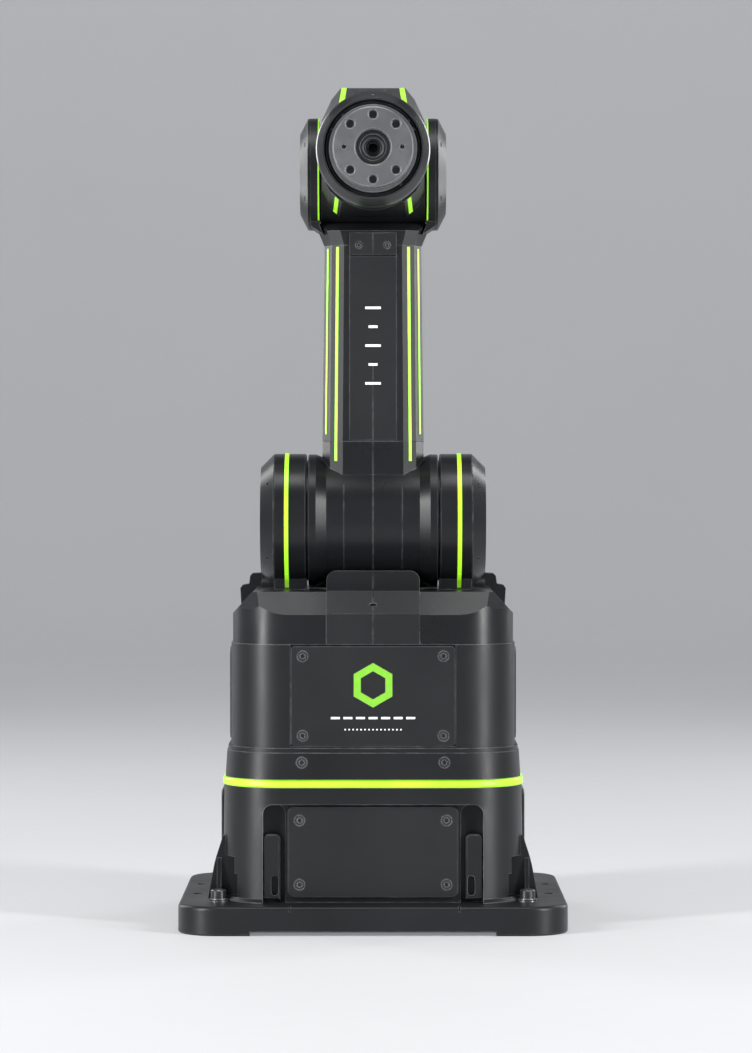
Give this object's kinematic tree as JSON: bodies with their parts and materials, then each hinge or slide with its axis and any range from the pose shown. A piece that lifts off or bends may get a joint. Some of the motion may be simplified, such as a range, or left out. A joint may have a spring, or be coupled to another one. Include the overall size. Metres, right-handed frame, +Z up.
{
  "type": "desktop robot arm",
  "caption": "Upright articulated desktop robot arm on a square base plate, with a turning turret, shoulder, elbow, wrist and a round tool flange; green light rings and strips.",
  "frame": {"origin": "centre of the base plate's underside", "axes": "+Z up; the tool flange and the front covers face -Y at rest; +X is to the right as seen from the front (-Y side)"},
  "size_m": [0.255, 0.3425, 0.5574],
  "materials": {
    "black_cast_aluminium": "satin black powder coat over cast aluminium",
    "dark_steel_fasteners": "blackened steel",
    "green_light_lens": "glossy light-green light pipe",
    "motor_steel": "machined",
    "gearbox_steel": "machined",
    "circuit_board": "solder mask",
    "black_plastic": "fine texture",
    "green_print": "printed inlay",
    "white_print": "printed inlay",
    "gloss_black_ring": "gloss black anodised",
    "dark_anodised_flange": "matte dark grey anodised"
  },
  "bodies": {
    "base": {"base_plate": "black_cast_aluminium", "base_housing": "black_cast_aluminium", "base_front_cover": "black_cast_aluminium", "base_channel_blocks": "black_cast_aluminium", "base_side_covers": "black_cast_aluminium", "base_rear_panel": "black_cast_aluminium", "power_inlet": "black_plastic", "data_socket": "black_plastic", "corner_bolts": "dark_steel_fasteners", "corner_washers": "dark_steel_fasteners", "base_screws": "dark_steel_fasteners", "base_led_ring": "green_light_lens", "j1_motor": "motor_steel", "j1_reducer": "gearbox_steel", "controller_board": "circuit_board"},
    "turret": {"turret_skirt": "black_cast_aluminium", "j1_output_hub": "gearbox_steel", "turret_housing": "black_cast_aluminium", "turret_front_panel": "black_cast_aluminium", "turret_rear_cover": "black_cast_aluminium", "turret_side_covers": "black_cast_aluminium", "turret_cap": "black_cast_aluminium", "turret_tongue_cover": "black_cast_aluminium", "shoulder_saddle": "black_cast_aluminium", "turret_rear_cheeks": "black_cast_aluminium", "turret_screws": "dark_steel_fasteners", "turret_emblem": "green_print", "turret_dashes": "white_print", "shoulder_drum_left": "black_cast_aluminium", "shoulder_drum_right": "black_cast_aluminium", "shoulder_end_caps": "black_cast_aluminium", "shoulder_led_rings": "green_light_lens", "shoulder_cap_screws": "dark_steel_fasteners", "j2_motor": "motor_steel", "j2_reducer": "gearbox_steel"},
    "upper_arm": {"shoulder_barrel": "black_cast_aluminium", "arm_shell": "black_cast_aluminium", "arm_front_cover": "black_cast_aluminium", "arm_rear_cover": "black_cast_aluminium", "arm_clip_plates": "black_cast_aluminium", "arm_led_strips": "green_light_lens", "arm_marks": "white_print", "arm_screws": "dark_steel_fasteners", "elbow_yoke": "black_cast_aluminium", "elbow_end_caps": "black_cast_aluminium", "elbow_led_rings": "green_light_lens", "elbow_cap_screws": "dark_steel_fasteners"},
    "forearm": {"forearm_head": "black_cast_aluminium", "forearm_top_cover": "black_cast_aluminium", "forearm_led_strips": "green_light_lens", "forearm_screws": "dark_steel_fasteners", "j3_motor": "motor_steel", "j4_motor": "motor_steel"},
    "wrist_roll": {"wrist_fork": "black_cast_aluminium", "wrist_pivot_covers": "black_cast_aluminium", "j5_motor": "motor_steel"},
    "wrist_pitch": {"wrist_housing": "black_cast_aluminium", "wrist_bezel": "gloss_black_ring", "j6_motor": "motor_steel"},
    "tool_flange": {"tool_flange": "dark_anodised_flange"}
  },
  "joints": [
    {"name": "j1_turret_turn", "type": "hinge", "parent": "base", "child": "turret", "pos_m": [0, 0, 0.0996], "axis": [0, 0, 1], "range_deg": [-170, 170]},
    {"name": "j2_shoulder_tilt", "type": "hinge", "parent": "turret", "child": "upper_arm", "pos_m": [0, 0, 0.268], "axis": [1, 0, 0], "range_deg": [-90, 95]},
    {"name": "j3_elbow_tilt", "type": "hinge", "parent": "upper_arm", "child": "forearm", "pos_m": [0, 0, 0.501], "axis": [-1, 0, 0], "range_deg": [-12, 125]},
    {"name": "j4_forearm_roll", "type": "hinge", "parent": "forearm", "child": "wrist_roll", "pos_m": [0, -0.098, 0.501], "axis": [0, -1, 0], "range_deg": [-175, 175]},
    {"name": "j5_wrist_tilt", "type": "hinge", "parent": "wrist_roll", "child": "wrist_pitch", "pos_m": [0, -0.166, 0.501], "axis": [-1, 0, 0], "range_deg": [-90, 90]},
    {"name": "j6_flange_turn", "type": "hinge", "parent": "wrist_pitch", "child": "tool_flange", "pos_m": [0, -0.22, 0.501], "axis": [0, -1, 0], "range_deg": [-180, 180]}
  ]
}
